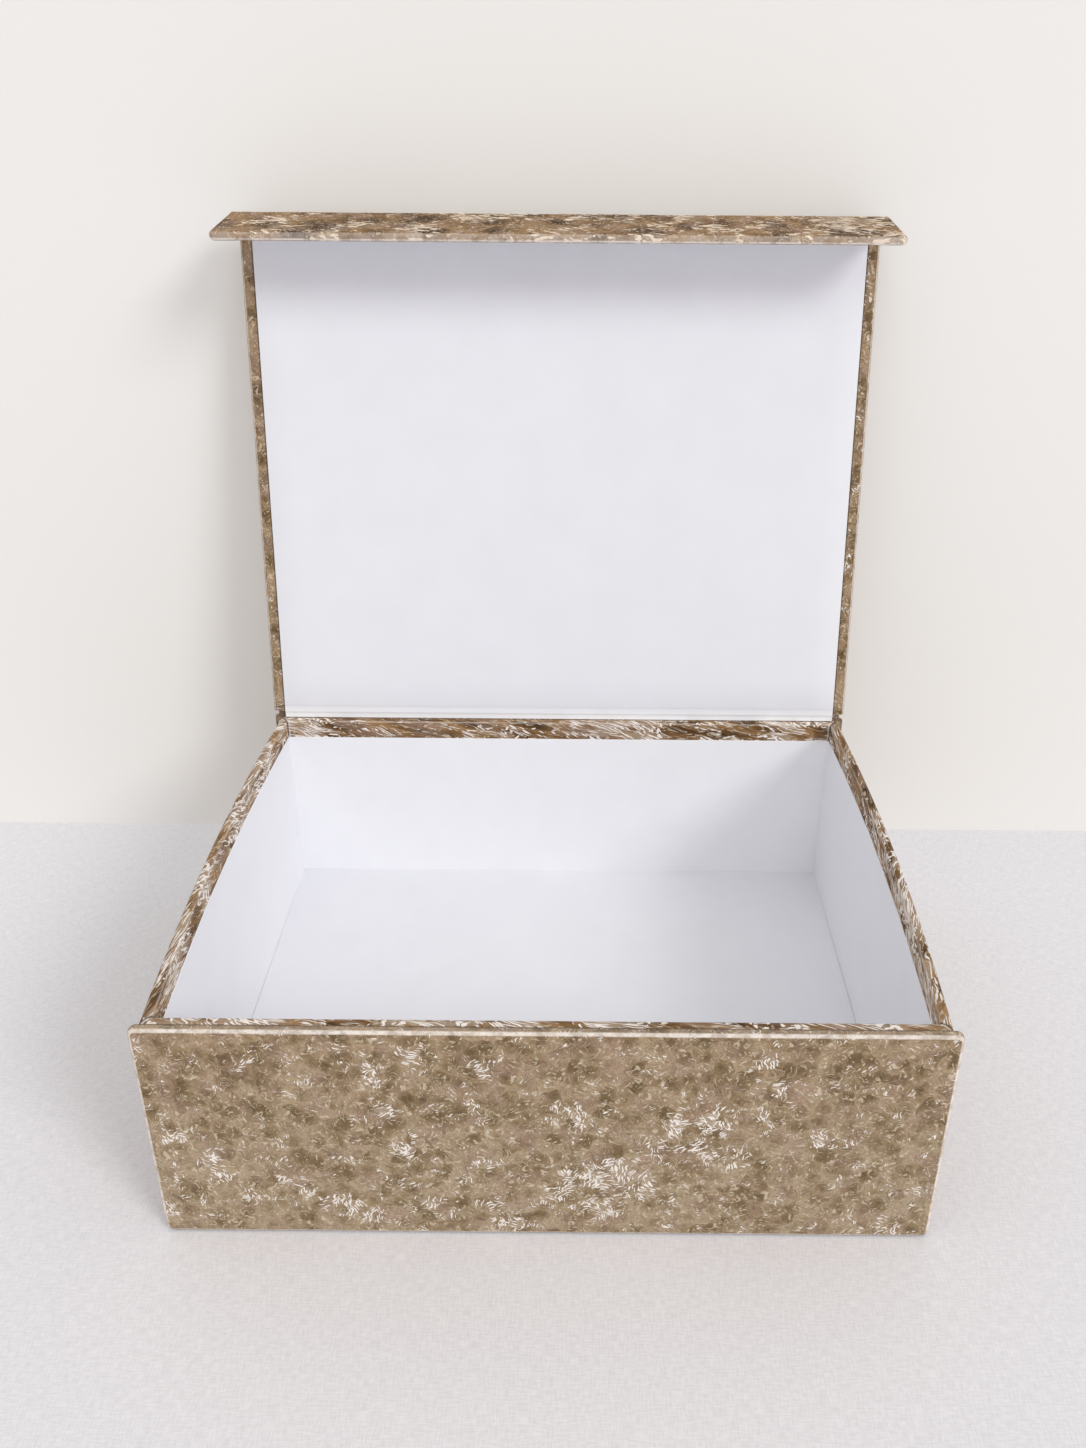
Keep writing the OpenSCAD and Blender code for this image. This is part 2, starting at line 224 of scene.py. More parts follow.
# %% [markdown]
# ## Crushed velvet
#
# Crushed velvet is cut pile pressed flat in patches. Where the pile lies over, it throws light
# back in short pale strokes; where it stands, it swallows light and looks olive brown. Glued
# round a board, it also shows a pale line along every edge, partly where the pile opens and partly
# as a painted highlight.
#
# The cloth is divided into small petals, and in each the pile leans one way. Their lean gives a
# mottled ground. Fine curling fibres lie over it, each with a thin line of painted shade beside it,
# and in the crushed patches each petal carries a comb of short strokes. The patterns follow the
# cloth's own flat UV map, in metres, so that they run round edges. Four amounts are painted on the
# points of the mesh: `crush` says where strokes gather, `edge` where the cloth turns an edge and
# takes its pale line, `shade` where painted shade darkens a closed fold, a gap or a contact line,
# and the fourth where the ground takes a deeper brown, partly its own and partly painted shade
# where the pile is seen aslant, most of all on the flap and the rims.

# %% Velvet
# How wide the spots of each pattern are, in millimetres, and how far the strokes are pushed
BEND_MM, PUSH_MM, TUFT_MM, CURL_MM, BREAK_MM = 4.5, 2.4, 7, 4.4, 2.6
MOTTLE_MM, ROSY_MM, PILE_MM, DASH_MM = 14, 11, 1.3, 4
# The ground's colours from standing to lying pile: as it is outside, and the deeper browns, which
# are partly the pile's own and partly painted shade where the pile is seen aslant
OUTER_GROUND, DEEP_PILE_AND_SHADE_GROUND = ("7d684b", "988366", "b09c82"), ("523920", "7b5b38", "a07d55")
# The pale line along edges is partly open pile and partly a painted highlight, and the dark brown is painted
# shade for closed folds, gaps and contact lines
ROSY_PILE, HAZE, FIBRE, EDGE_PILE_AND_HIGHLIGHT, PAINTED_SHADE_BROWN = "a68b7b", "bfae9d", "d6c6ae", "f0e6dc", "33251a"


def combs(tree, bent, petal, stroke_mm, angles):
    """Strokes: in each petal the pile lies in one of the directions, so they form a comb."""
    strokes = None
    for number, angle in enumerate(angles):
        laid = node(tree, "ShaderNodeMapping", {
            "Vector": bent, "Location": (0.31 * number, 0.17 * number, 0), "Rotation": (0, 0, angle),
            "Scale": (stroke_mm[0] * MM, stroke_mm[1] * MM, 1)}, vector_type="TEXTURE").outputs[0]
        cell = node(tree, "ShaderNodeTexVoronoi", {"Vector": laid, "Scale": 1.0}, voronoi_dimensions="2D")
        dash = spread(tree, cell.outputs["Distance"], 0.18, 0.42, 1.0, 0.0)
        chosen = node(tree, "ShaderNodeSeparateColor", {0: cell.outputs["Color"]}).outputs[0]
        dash = sums(tree, "MULTIPLY", dash, spread(tree, chosen, 0.0, 0.25))
        here = node(tree, "ShaderNodeMath", {
            0: petal, 1: (number + 0.5) / len(angles), 2: 0.8 / len(angles)}, operation="COMPARE").outputs[0]
        dash = sums(tree, "MULTIPLY", dash, here)
        strokes = dash if strokes is None else sums(tree, "MAXIMUM", strokes, dash)
    return strokes


def ground(tree, lean, deep):
    """The pile's colour, from standing to lying, laid towards deeper browns that are partly painted shade."""
    grounds = []
    for standing, middle, lying in (OUTER_GROUND, DEEP_PILE_AND_SHADE_GROUND):
        ramp = node(tree, "ShaderNodeValToRGB", {"Fac": lean})
        stops = ramp.color_ramp.elements
        stops[0].position, stops[0].color = 0.32, linear(standing)
        stops[1].position, stops[1].color = 0.66, linear(lying)
        stops.new(0.48).color = linear(middle)
        grounds.append(ramp.outputs["Color"])
    return laid_over(tree, deep, *grounds)


def velvet_material(name, stroke_mm, petal_mm, angles, stroke_colour):
    """Crushed velvet: petals of pile this wide, with strokes this long and wide at these angles."""
    material, tree = new_material(name)
    cloth = node(tree, "ShaderNodeUVMap", uv_map="cloth").outputs[0]

    # The strokes bend a little: the cloth's coordinates are pushed about by a millimetre or so
    push = clouds(tree, cloth, BEND_MM, 2.0, output="Color")
    push = node(tree, "ShaderNodeVectorMath", {0: push, 1: (0.5, 0.5, 0.5)}, operation="SUBTRACT").outputs[0]
    bent = node(tree, "ShaderNodeVectorMath", {0: cloth, 1: scaled(tree, push, PUSH_MM * MM)},
                operation="ADD").outputs[0]

    petals = node(tree, "ShaderNodeTexVoronoi", {"Vector": bent, "Scale": 1 / (petal_mm * MM)},
                  voronoi_dimensions="2D")
    petal = node(tree, "ShaderNodeSeparateColor", {0: petals.outputs["Color"]}).outputs[0]
    strokes = combs(tree, bent, petal, stroke_mm, angles)

    # Where the strokes gather: the mesh says so, and small random tufts lie in between
    tufts = spread(tree, clouds(tree, bent, TUFT_MM, 3.0, Roughness=0.65), 0.30, 0.72, -0.70, 0.27)
    gather = sums(tree, "ADD", tufts, sums(tree, "MULTIPLY", painted(tree, "crush"), 0.72))
    pale = sums(tree, "ADD", sums(tree, "MULTIPLY", strokes, 0.8), sums(tree, "MINIMUM", gather, 0.5))
    pale = spread(tree, pale, 0.81, 0.92)
    haze = spread(tree, gather, 0.34, 0.74, to_high=0.45)

    # Curling fibres are the thin level lines of a soft noise, each with a dark line of painted shade
    # beside it
    level = sums(tree, "MULTIPLY", clouds(tree, bent, CURL_MM, 1.0, Distortion=0.8), 4.0)
    level = sums(tree, "PINGPONG", level, 0.5)
    broken = spread(tree, clouds(tree, cloth, BREAK_MM, 1.0), 0.43, 0.51)
    curl = sums(tree, "MULTIPLY", spread(tree, level, 0.35, 0.43), broken)
    curl = sums(tree, "MULTIPLY", curl, 0.7)
    fibre_shade = spread(tree, level, 0.0, 0.13, 0.70, 1.0)

    # The mottled ground: petals of pile that lean each their own way, seen from standing to lying,
    # and deeper where the mesh says so, partly as painted shade
    petal = spread(tree, sums(tree, "ADD", petal, petals.outputs["Distance"]), 0.1, 1.6)
    mottle = clouds(tree, bent, MOTTLE_MM, 5.0, Roughness=0.62)
    lean = node(tree, "ShaderNodeMix", {"Factor": 0.42, 2: mottle, 3: petal}).outputs[0]
    colour = ground(tree, lean, painted(tree, "deep"))
    rosy = spread(tree, clouds(tree, cloth, ROSY_MM, 3.0), 0.50, 0.64, to_high=0.45)
    colour = laid_over(tree, rosy, colour, linear(ROSY_PILE))
    fine = spread(tree, clouds(tree, cloth, PILE_MM, 2.0), 0.3, 0.7, 0.90, 1.10)
    colour = scaled(tree, scaled(tree, colour, fine), fibre_shade)
    colour = laid_over(tree, haze, colour, linear(HAZE))
    colour = laid_over(tree, curl, colour, linear(FIBRE))
    colour = laid_over(tree, pale, colour, linear(stroke_colour))

    # The pale line along the edges, partly open pile and partly a painted highlight, is broken into
    # dashes, and painted shade darkens closed folds, gaps and contact lines
    dashes = spread(tree, clouds(tree, cloth, DASH_MM, 3.0), 0.36, 0.56, to_low=0.55)
    dashes = sums(tree, "MULTIPLY", painted(tree, "edge"), dashes)
    colour = laid_over(tree, dashes, colour, linear(EDGE_PILE_AND_HIGHLIGHT))
    dark = sums(tree, "MULTIPLY", painted(tree, "shade"), 0.85)
    colour = laid_over(tree, dark, colour, linear(PAINTED_SHADE_BROWN))

    height = sums(tree, "ADD", sums(tree, "ADD", pale, curl), fine)
    bump = node(tree, "ShaderNodeBump", {"Height": height, "Strength": 0.7, "Distance": 0.4 * MM})
    return surfaced(material, node(tree, "ShaderNodeBsdfPrincipled", {
        "Base Color": colour, "Roughness": 0.8, "Sheen Weight": 0.06, "Sheen Roughness": 0.4,
        "Sheen Tint": linear("e9dccb"), "Specular IOR Level": 0.2, "Normal": bump.outputs[0]}))


velvet = velvet_material("crushed velvet", (5.6, 0.95), 6, (0.25, 0.85, 1.5, 2.15, 2.8), "f7eee6")
# On the narrow flap the pile was brushed along, and its strokes are longer and lie flatter
brushed_velvet = velvet_material("crushed velvet, brushed along", (12.0, 2.4), 14,
                                 (-0.35, 0.0, 0.3, 0.12, -0.7), "f3dfc8")
print("velvet:", len(velvet.node_tree.nodes), "nodes")

# %% [markdown]
# ## White lining card
#
# The lining is smooth, faintly cool white paper on card. It has almost no texture: a soft fibre
# cloudiness, a very fine bump, and a low sheen where it faces the light.

# %% Paper and greyboard
def paper_material(name, colour_hex, grain_mm, roughness):
    """Smooth paper, with a painted highlight on cut edges and painted grey shade in closed creases."""
    material, tree = new_material(name)
    place = node(tree, "ShaderNodeTexCoord").outputs["Object"]
    cloud = spread(tree, clouds(tree, place, 22, 3.0, "3D"), 0.3, 0.7, 0.985, 1.01)
    colour = scaled(tree, linear(colour_hex)[:3], cloud)
    # A painted highlight on cut edges, and painted grey shade in closed creases
    colour = laid_over(tree, painted(tree, "edge"), colour, linear("fdfdff"))
    colour = laid_over(tree, painted(tree, "shade"), colour, linear("8d8a90"))
    grain = clouds(tree, place, grain_mm, 3.0, "3D")
    bump = node(tree, "ShaderNodeBump", {"Height": grain, "Strength": 0.25, "Distance": 0.03 * MM})
    return surfaced(material, node(tree, "ShaderNodeBsdfPrincipled", {
        "Base Color": colour, "Roughness": roughness, "Specular IOR Level": 0.3,
        "Normal": bump.outputs[0]}))


card = paper_material("white lining card", "f2f2f6", 0.5, 0.6)
# The lid's card is the same white card as the tray's, painted a little darker as shade
lid_card_painted_darker = paper_material("white lining card on the lid, painted darker", "eaeaef", 0.5, 0.6)
hinge_paper = paper_material("white hinge paper", "fafafd", 0.4, 0.65)


def greyboard_material():
    """Pressed waste paper: mid grey, with flecks of lighter and darker fibre."""
    material, tree = new_material("pressed greyboard")
    place = node(tree, "ShaderNodeTexCoord").outputs["Object"]
    fleck = clouds(tree, place, 0.8, 4.0, "3D")
    ramp = node(tree, "ShaderNodeValToRGB", {"Fac": fleck})
    for stop, position, colour_hex in zip(ramp.color_ramp.elements, (0.3, 0.7), ("77726a", "a29d94")):
        stop.position, stop.color = position, linear(colour_hex)
    bump = node(tree, "ShaderNodeBump", {"Height": fleck, "Strength": 0.4, "Distance": 0.1 * MM})
    return surfaced(material, node(tree, "ShaderNodeBsdfPrincipled", {
        "Base Color": ramp.outputs["Color"], "Roughness": 0.9, "Normal": bump.outputs[0]}))


greyboard = greyboard_material()


def disc_metal(name, colour_hex, roughness, lines_mm):
    """A plated disc: fine turning lines give its flat faces a soft streak of light."""
    material, tree = new_material(name)
    place = node(tree, "ShaderNodeTexCoord").outputs["Object"]
    lines = clouds(tree, place, lines_mm, 5.0, "3D")
    rough = spread(tree, lines, 0.0, 1.0, roughness - 0.08, roughness + 0.08)
    bump = node(tree, "ShaderNodeBump", {"Height": lines, "Strength": 0.15, "Distance": 0.02 * MM})
    return surfaced(material, node(tree, "ShaderNodeBsdfPrincipled", {
        "Base Color": linear(colour_hex), "Metallic": 1.0, "Roughness": rough, "Normal": bump.outputs[0]}))


steel = disc_metal("zinc-plated steel", "b4b6b8", 0.4, 0.4)
nickel = disc_metal("nickel plating", "cfcdc8", 0.22, 0.6)

# %% [markdown]
# ## Boards and discs stay as measured
#
# The greyboards, the tray's walls and the discs are hidden inside the cloth. Their measured
# solids are kept and only get their materials.

# %% Materials for the measured pieces
FINISHES = {"velvet": velvet, "greyboard": greyboard, "lining_card": card,
            "hinge_paper": hinge_paper, "steel_disc": steel, "magnet": nickel}
slot_of = {part["node"]: part["material_slot"] for part in frame["record"]["subparts"]}
for name, solid in frame["nodes"].items():
    solid.data.materials.clear()
    solid.data.materials.append(FINISHES[slot_of[name]])
print(len(frame["nodes"]), "measured pieces have their materials")

# %% [markdown]
# ## From a mesh in millimetres to a piece of the box
#
# Each piece is made flat and square in millimetres, then one matrix puts it in its place in
# metres. The piece then rides on its body, takes its finish and stands in for its measured solid.

# %% Finishing a piece
SHARP = math.radians(38)
print("edges that turn by more than", round(math.degrees(SHARP)), "degrees are drawn sharp")


def shown(name, mesh, material):
    """An object in the scene, made from a bmesh."""
    data = bpy.data.meshes.new(name)
    mesh.to_mesh(data)
    mesh.free()
    data.materials.append(material)
    made = bpy.data.objects.new(name, data)
    bpy.context.scene.collection.objects.link(made)
    return made


def thickened(piece, thickness, offset):
    """A single sheet with its thickness: all behind the face with offset -1, half with 0."""
    solid = piece.modifiers.new("thickness", "SOLIDIFY")
    solid.thickness = thickness * MM
    solid.offset = offset
    return piece


def finish_piece(mesh, name, place, material, body, replaced):
    """Turns a bmesh into an object of the box, and joins it to its body."""
    mesh.transform(Matrix.Scale(MM, 4) @ place)
    if place.determinant() < 0:
        bmesh.ops.reverse_faces(mesh, faces=mesh.faces)
    for face in mesh.faces:
        face.smooth = True
    for line in mesh.edges:
        line.smooth = len(line.link_faces) == 2 and line.calc_face_angle(0) < SHARP
    piece = shown(name, mesh, material)
    if body:
        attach(piece, body)
    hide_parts(*replaced)
    print(name, len(piece.data.polygons), "faces")
    return piece


def cut_at(mesh, axis, at):
    """Cuts the mesh along the plane where this axis has this value."""
    normal = Vector([1 if i == axis else 0 for i in range(3)])
    everything = mesh.verts[:] + mesh.edges[:] + mesh.faces[:]
    bmesh.ops.bisect_plane(mesh, geom=everything, dist=1e-4, plane_co=normal * at, plane_no=normal)


def cut_grid(mesh, low, high, step, axis):
    """Cuts the mesh along planes a step apart, so that it can be bent and painted finely."""
    count = max(1, round((high - low) / step))
    for k in range(1, count):
        cut_at(mesh, axis, low + k * (high - low) / count)


def soft_box(width, length, height):
    """A plain block in millimetres: x centred, y and z from 0."""
    mesh = bmesh.new()
    bmesh.ops.create_cube(mesh, size=1)
    bmesh.ops.transform(mesh, verts=mesh.verts, matrix=Matrix.Translation((0, length / 2, height / 2))
                        @ Matrix.Diagonal((width, length, height, 1)))
    return mesh


def bevelled(mesh, edges, radius, segments):
    """Rounds these edges of the mesh."""
    bmesh.ops.bevel(mesh, geom=edges, offset=radius, offset_type="OFFSET", segments=segments,
                    profile=0.5, affect="EDGES", material=-1, clamp_overlap=True)


# %% [markdown]
# ## A board wrapped in velvet
#
# The wrap is one sheet of cloth: over the outer face, round the edges and a little way in behind.
# It starts as a block, whose corners and rims are rounded. Where the cloth runs on to a hinge, the
# block is longer and is cut off square. A window behind is left open, because there the greyboard
# shows until the lining covers it, and the sheet is then given the cloth's thickness. The velvet's
# four amounts are painted on its points: edge, a pale line partly of open pile and partly a painted
# highlight; shade, painted shade at the foot, beside the card and in the gap behind; the deeper
# brown, partly painted shade where the pile is seen aslant; and crush.

# %% The wrap
# The sheet's thickness, how far glue and board make it uneven, and the round of a cut-off end
CLOTH, UNEVEN, END_ROUND = 0.9 * VELVET, 0.10, 0.35
# Rows of points beside a card's edge and at the flap's fold, where thin lines of painted shade
# and painted highlight are drawn
CARD_ROWS, FOLD_ROWS = (-0.4, 0.3, 0.9), (0.8, 1.8)


def crush_field(point, seed, amount):
    """Patches where the pile is crushed: large soft spots and a few slanting chains."""
    spot = noise.noise(Vector((point[0] / 23, point[1] / 23, seed)))
    chain = noise.noise(Vector(((point[0] + point[1]) / 60, (point[1] - point[0]) / 13, seed + 7.3)))
    return min(1.2, max(0.0, amount * (0.30 + 1.2 * spot + 0.9 * chain)))


def paint(mesh, flat_place, **amounts):
    """Writes attributes on the points, one function for each, and the cloth's flat map."""
    for name, amount in amounts.items():
        layer = mesh.verts.layers.float.new(name)
        for vert in mesh.verts:
            vert[layer] = amount(vert)
    layer_uv = mesh.loops.layers.uv.new("cloth")
    for face in mesh.faces:
        for loop in face.loops:
            loop[layer_uv].uv = flat_place(loop)


def wrapped_board(name, width, length, square_ends, turn_in, step, seed, crush_at, place, body, replaced,
                  amount=1.0, cloth=None, card_over=0):
    """A board's velvet. With card_over, a card covers all but that width of its inner face."""
    margin = CORNER_R + EDGE_R + 1
    low = -margin if square_ends[0] else 0
    high = length + margin if square_ends[1] else length
    mesh = soft_box(width, high - low, COVERED)
    bmesh.ops.translate(mesh, verts=mesh.verts, vec=(0, low, 0))
    bevelled(mesh, [e for e in mesh.edges if abs(e.verts[0].co.z - e.verts[1].co.z) > 1], CORNER_R, 6)
    bevelled(mesh, [e for e in mesh.edges if abs(e.verts[0].co.z - e.verts[1].co.z) < 1e-6
                    and len({round(f.normal.z, 3) for f in e.link_faces}) == 2], EDGE_R, 5)
    for is_square, y, side in ((square_ends[0], 0, -1), (square_ends[1], length, 1)):
        if is_square:
            everything = mesh.verts[:] + mesh.edges[:] + mesh.faces[:]
            cut = bmesh.ops.bisect_plane(mesh, geom=everything, plane_co=(0, y, 0), dist=1e-5,
                                         plane_no=(0, side, 0), clear_outer=True)["geom_cut"]
            ring = [e for e in cut if isinstance(e, bmesh.types.BMEdge)]
            bmesh.ops.edgeloop_fill(mesh, edges=ring)
            bevelled(mesh, ring, END_ROUND, 2)
    bmesh.ops.recalc_face_normals(mesh, faces=mesh.faces)
    cut_grid(mesh, -width / 2, width / 2, step, 0)
    cut_grid(mesh, 0, length, step, 1)

    # The window behind: its four sides are cut, and the faces inside it are taken away
    cuts = [(0, -width / 2 + turn_in), (0, width / 2 - turn_in), (1, turn_in), (1, length - turn_in)]
    if card_over:
        cuts += [(0, way * (width / 2 - card_over + off)) for way in (-1, 1) for off in CARD_ROWS]
    if cloth:
        cuts += [(1, length - off) for off in FOLD_ROWS]
    for axis, at in cuts:
        cut_at(mesh, axis, at)
    window = [f for f in mesh.faces if f.normal.z < -0.99 and f.calc_center_median().z < 0.01
              and abs(f.calc_center_median().x) < width / 2 - turn_in
              and turn_in < f.calc_center_median().y < length - turn_in]
    bmesh.ops.delete(mesh, geom=window, context="FACES")

    # The pale line, partly open pile and partly a painted highlight: along the foot, round the outer edges,
    # by the card on the inner face and at the flap's hinge end, and fainter on the other edges
    def edge_amount(vert):
        foot = vert.co.y < EDGE_R and not (square_ends[0] or card_over)
        outer = 0.9 < vert.normal.z < 0.9995 if foot else 0.5 < vert.normal.z < 0.97
        inner = card_over and (-0.75 < vert.normal.z < -0.25 if cloth else -0.9 < vert.normal.z < -0.7)
        hinge_end = cloth and vert.co.y > length - 1 and vert.normal.z > 0.2
        if inner or hinge_end or (outer and not cloth):
            return 0.95
        return (0.3 if cloth else 0.12) if abs(vert.normal.z) <= 0.9 else 0.0

    # Painted shade: a dark contact line along the foot, a shadow line beside the card's edge, and shade on
    # the inner rounding, in the gap where the board meets the tray
    def shade_amount(vert):
        foot = vert.co.y < EDGE_R and not (square_ends[0] or card_over) and vert.normal.z < 0.9
        at_card = abs(abs(vert.co.x) - width / 2 + card_over) < 0.45 and vert.normal.z < -0.9
        behind = not card_over and -0.95 < vert.normal.z < -0.1
        return 0.95 if foot or (card_over and at_card) else 0.6 if behind else 0.0

    # The deeper brown, partly painted shade where the pile is seen aslant: all over the flap and on edges and
    # inner faces; elsewhere it grows a little towards the board's far end
    def deep_amount(vert):
        if cloth:
            return 1.0
        return 0.45 if vert.normal.z < 0.5 else 0.4 * max(0, vert.co.y / length - 0.3)

    def crush_amount(vert):
        x, y = vert.co.x, vert.co.y
        local = sum(strength * math.exp(-((x - sx) ** 2 + (y - sy) ** 2) / (2 * size * size))
                    for sx, sy, size, strength in crush_at)
        fewer = 0.4 if card_over and not cloth and vert.normal.z < 0.5 else 1
        return min(1.4, local + crush_field(vert.co, seed, amount) * fewer)

    def flat_place(loop):
        co = loop.vert.co
        depth = COVERED - co.z
        out_x = depth * math.copysign(min(1, max(0, abs(co.x) - width / 2 + EDGE_R) / EDGE_R), co.x)
        out_y = depth * (min(1, max(0, co.y - length + EDGE_R) / EDGE_R)
                         - min(1, max(0, EDGE_R - co.y) / EDGE_R))
        return ((co.x + out_x) * MM + 1.3 * seed, (co.y + out_y) * MM + 0.7 * seed)

    mesh.normal_update()
    paint(mesh, flat_place, edge=edge_amount, shade=shade_amount, deep=deep_amount, crush=crush_amount)

    # Glue and board leave the cloth faintly uneven
    for vert in mesh.verts:
        swell = noise.noise(vert.co / 11 + Vector((seed, 0, 0))) + 0.5 * noise.noise(vert.co / 4)
        vert.co += vert.normal * (UNEVEN * swell)
    thickened(finish_piece(mesh, name, place, cloth or velvet, body, replaced), CLOTH, -1)


# Crushed patches of the front board that stand out: x, height, size and strength
FRONT_PATCHES = [
    (-110, 87, 3, 1), (-76, 97, 2.5, .8), (-63, 81, 4, 1), (-60, 65, 3, 1), (-48, 91, 3.5, 1),
    (-52, 45, 4, 1.1), (-106, 48, 2.5, .9), (-140, 51, 3, 1), (-143, 29, 3, .8), (-145, 14, 2.5, .8),
    (-126, 41, 2.5, .9), (-126, 31, 3, 1), (-115, 21, 3, .8), (-78, 42, 2.5, .8), (-101, 29, 3, 1),
    (-93, 24, 3, 1), (-85, 19, 3, .9), (-76, 14, 3.5, 1), (-67, 8, 4, 1), (-54, 28, 2.5, .9),
    (-45, 18, 3.5, .9), (-36, 10, 2.5, .7), (-23, 87, 3, 1), (-26, 67, 3, .7), (-22, 38, 2.5, .8),
    (-33, 27, 2.5, .8), (-23, 18, 3, .8), (-15, 8, 5, 1.1),
    (8, 66, 4, .9), (14, 55, 4, .8), (8, 33, 4, 1), (17, 30, 5, 1.1), (26, 38, 4, 1), (32, 33, 5, 1.1),
    (22, 16, 5, 1), (4, 20, 4.5, .9), (41, 49, 4, 1), (36, 24, 4, .9), (49, 61, 4.5, 1.1), (62, 60, 4.5, 1.1),
    (57, 46, 4, .9), (70, 43, 4, 1), (79, 91, 3, 1), (85, 77, 3, .9), (81, 61, 3.5, 1), (103, 52, 4, 1),
    (112, 48, 3, .8), (129, 31, 2.5, .8), (143, 25, 3, .9), (134, 6, 3.5, 1), (123, 4, 3, .8),
    (60, 17, 3, .7)]
wrapped_board("front_velvet", CASE_W, CASE_H, (False, False), TURN_IN_CASE, 2.5, 1.0, FRONT_PATCHES,
              PLACES["front"], "box", ["front_cover"], amount=0.18)
wrapped_board("spine_velvet", CASE_W, RIM_Z, (False, True), TURN_IN_CASE, 4, 2.0, [],
              PLACES["spine"], "box", ["spine_cover"])
wrapped_board("base_velvet", CASE_W, 2 * TRAY_HD, (True, True), TURN_IN_CASE, 5, 3.0, [],
              PLACES["base"], "box", ["base_cover"])
wrapped_board("lid_velvet", CASE_W, LID_L, (True, True), TURN_IN_LID, 4, 4.0, [],
              PLACES["lid"], "lid", ["lid_cover"], amount=0.8, card_over=LID_MARGIN)
wrapped_board("flap_velvet", FLAP_W, FLAP_L, (False, True), TURN_IN_FLAP, 2.5, 5.0, [],
              PLACES["flap"], "flap", ["flap_cover"], amount=1.25, cloth=brushed_velvet,
              card_over=FLAP_MARGIN)

# %% [markdown]
# ## The tray's velvet
#
# One long strip runs round the tray's outside, over the rim and a finger's width down inside.
# Its section is swept round the tray: an edge chain is extruded and each new row is moved to the
# next station. The side walls bow out, most at the middle of the rim, as boards do when wet
# cloth dries on one side. At each corner, where the cloth is mitred, a thin line of painted shade
# with a pale line of painted highlight beside it marks the mitre.

# %% The swept strip
SIDE_STEPS, END_STEPS, ARC_STEPS = 48, 60, 6
# Stations close to each corner, in millimetres, for the mitre's lines of painted shade and highlight
MITRE_MM = (0.7, 1.5)


def wall_point(sx, sy, inset, z):
    """A point of the tray's wall: sx and sy run from -1 to 1, inset is from the outside."""
    rise = (z - TRAY_Z) / (RIM_Z - TRAY_Z)
    bow = BOW * (1 - sy * sy) * rise if abs(sx) == 1 else 0
    return Vector((sx * (TRAY_HW - inset) + math.copysign(bow, sx), sy * (TRAY_HD - inset), z))


def sweep(profile, stations, closed_path, closed_profile):
    """Sweeps [inset, z] points along stations, one extruded row of edges after another."""
    mesh = bmesh.new()
    row = mesh.verts.layers.int.new("row")
    along = mesh.verts.layers.int.new("along")
    first = []
    for j, (inset, z) in enumerate(profile):
        vert = mesh.verts.new(wall_point(*stations[0], inset, z))
        vert[row] = j
        first.append(vert)
    pairs = list(zip(first, first[1:] + first[:1])) if closed_profile else list(zip(first, first[1:]))
    chain = [mesh.edges.new(p) for p in pairs]
    if closed_profile and not closed_path:
        mesh.faces.new(first)
    for number, station in enumerate(stations[1:] + (stations[:1] if closed_path else []), start=1):
        made = bmesh.ops.extrude_edge_only(mesh, edges=chain)["geom"]
        for vert in (v for v in made if isinstance(v, bmesh.types.BMVert)):
            vert.co = wall_point(*station, *profile[vert[row]])
            vert[along] = number
        rows = {v for v in made if isinstance(v, bmesh.types.BMVert)}
        chain = [e for e in made if isinstance(e, bmesh.types.BMEdge) and set(e.verts) <= rows]
    if closed_path:
        bmesh.ops.remove_doubles(mesh, verts=mesh.verts, dist=1e-4)
        for vert in mesh.verts:
            vert[along] %= len(stations)
    elif closed_profile:
        bmesh.ops.edgeloop_fill(mesh, edges=chain)
    bmesh.ops.recalc_face_normals(mesh, faces=mesh.faces)
    return mesh, row, along


def spaced(count, half_length=0):
    """Even stations from -1 to 1, with a few more close to the mitred corners."""
    close = [1 - off / half_length for off in MITRE_MM] if half_length else []
    return sorted([2 * i / count - 1 for i in range(count + 1)] + close + [-c for c in close])


side = spaced(SIDE_STEPS, TRAY_HD)
end = spaced(END_STEPS, TRAY_HW)
ring = ([(-1, s) for s in reversed(side)] + [(s, -1) for s in end[1:-1]]
        + [(1, s) for s in side] + [(s, 1) for s in reversed(end[1:-1])])
outer_arc = [(RIM_R - RIM_R * math.cos(a), RIM_Z - RIM_R + RIM_R * math.sin(a))
             for a in (math.pi / 2 * i / ARC_STEPS for i in range(ARC_STEPS + 1))]
inner_arc = [(COVERED - inset, z) for inset, z in reversed(outer_arc)]
outside = [(0, TRAY_Z + (RIM_Z - RIM_R - TRAY_Z) * i / 24) for i in range(24)]
inside = [(COVERED, RIM_Z - RIM_R - (RIM_Z - RIM_R - LINING_TOP_Z) * i / 4) for i in range(1, 5)]
strip_section = outside + outer_arc + inner_arc + inside

mesh, row, along = sweep(strip_section, ring, True, False)
run = [0.0]
for a, b in zip(strip_section, strip_section[1:]):
    run.append(run[-1] + math.hypot(b[0] - a[0], b[1] - a[1]))
round_trip = [0.0]
for a, b in zip(ring, ring[1:] + ring[:1]):
    round_trip.append(round_trip[-1] + (wall_point(*b, 0, RIM_Z) - wall_point(*a, 0, RIM_Z)).length)
rim_row = len(outside) + ARC_STEPS
RIM_DRAWN, RIM_SLANT = 0.45, 0.8


def from_corner(station):
    """Signed distance from the nearest corner: more than 0 on an end wall, less on a side wall."""
    sx, sy = station
    return (1 - abs(sx)) * TRAY_HW if abs(sy) == 1 else -(1 - abs(sy)) * TRAY_HD


# Pale lines: along the rim's inner turn, partly open pile and partly a painted highlight, and a painted
# highlight beside each mitre
def strip_edge(vert):
    turning = max(0, 1 - abs(vert[row] - rim_row - 5) / 1.5)
    mitre = 0.1 < from_corner(ring[vert[along]]) < 1 and vert[row] > rim_row - 5
    return 0.95 if mitre else 0.45 * turning


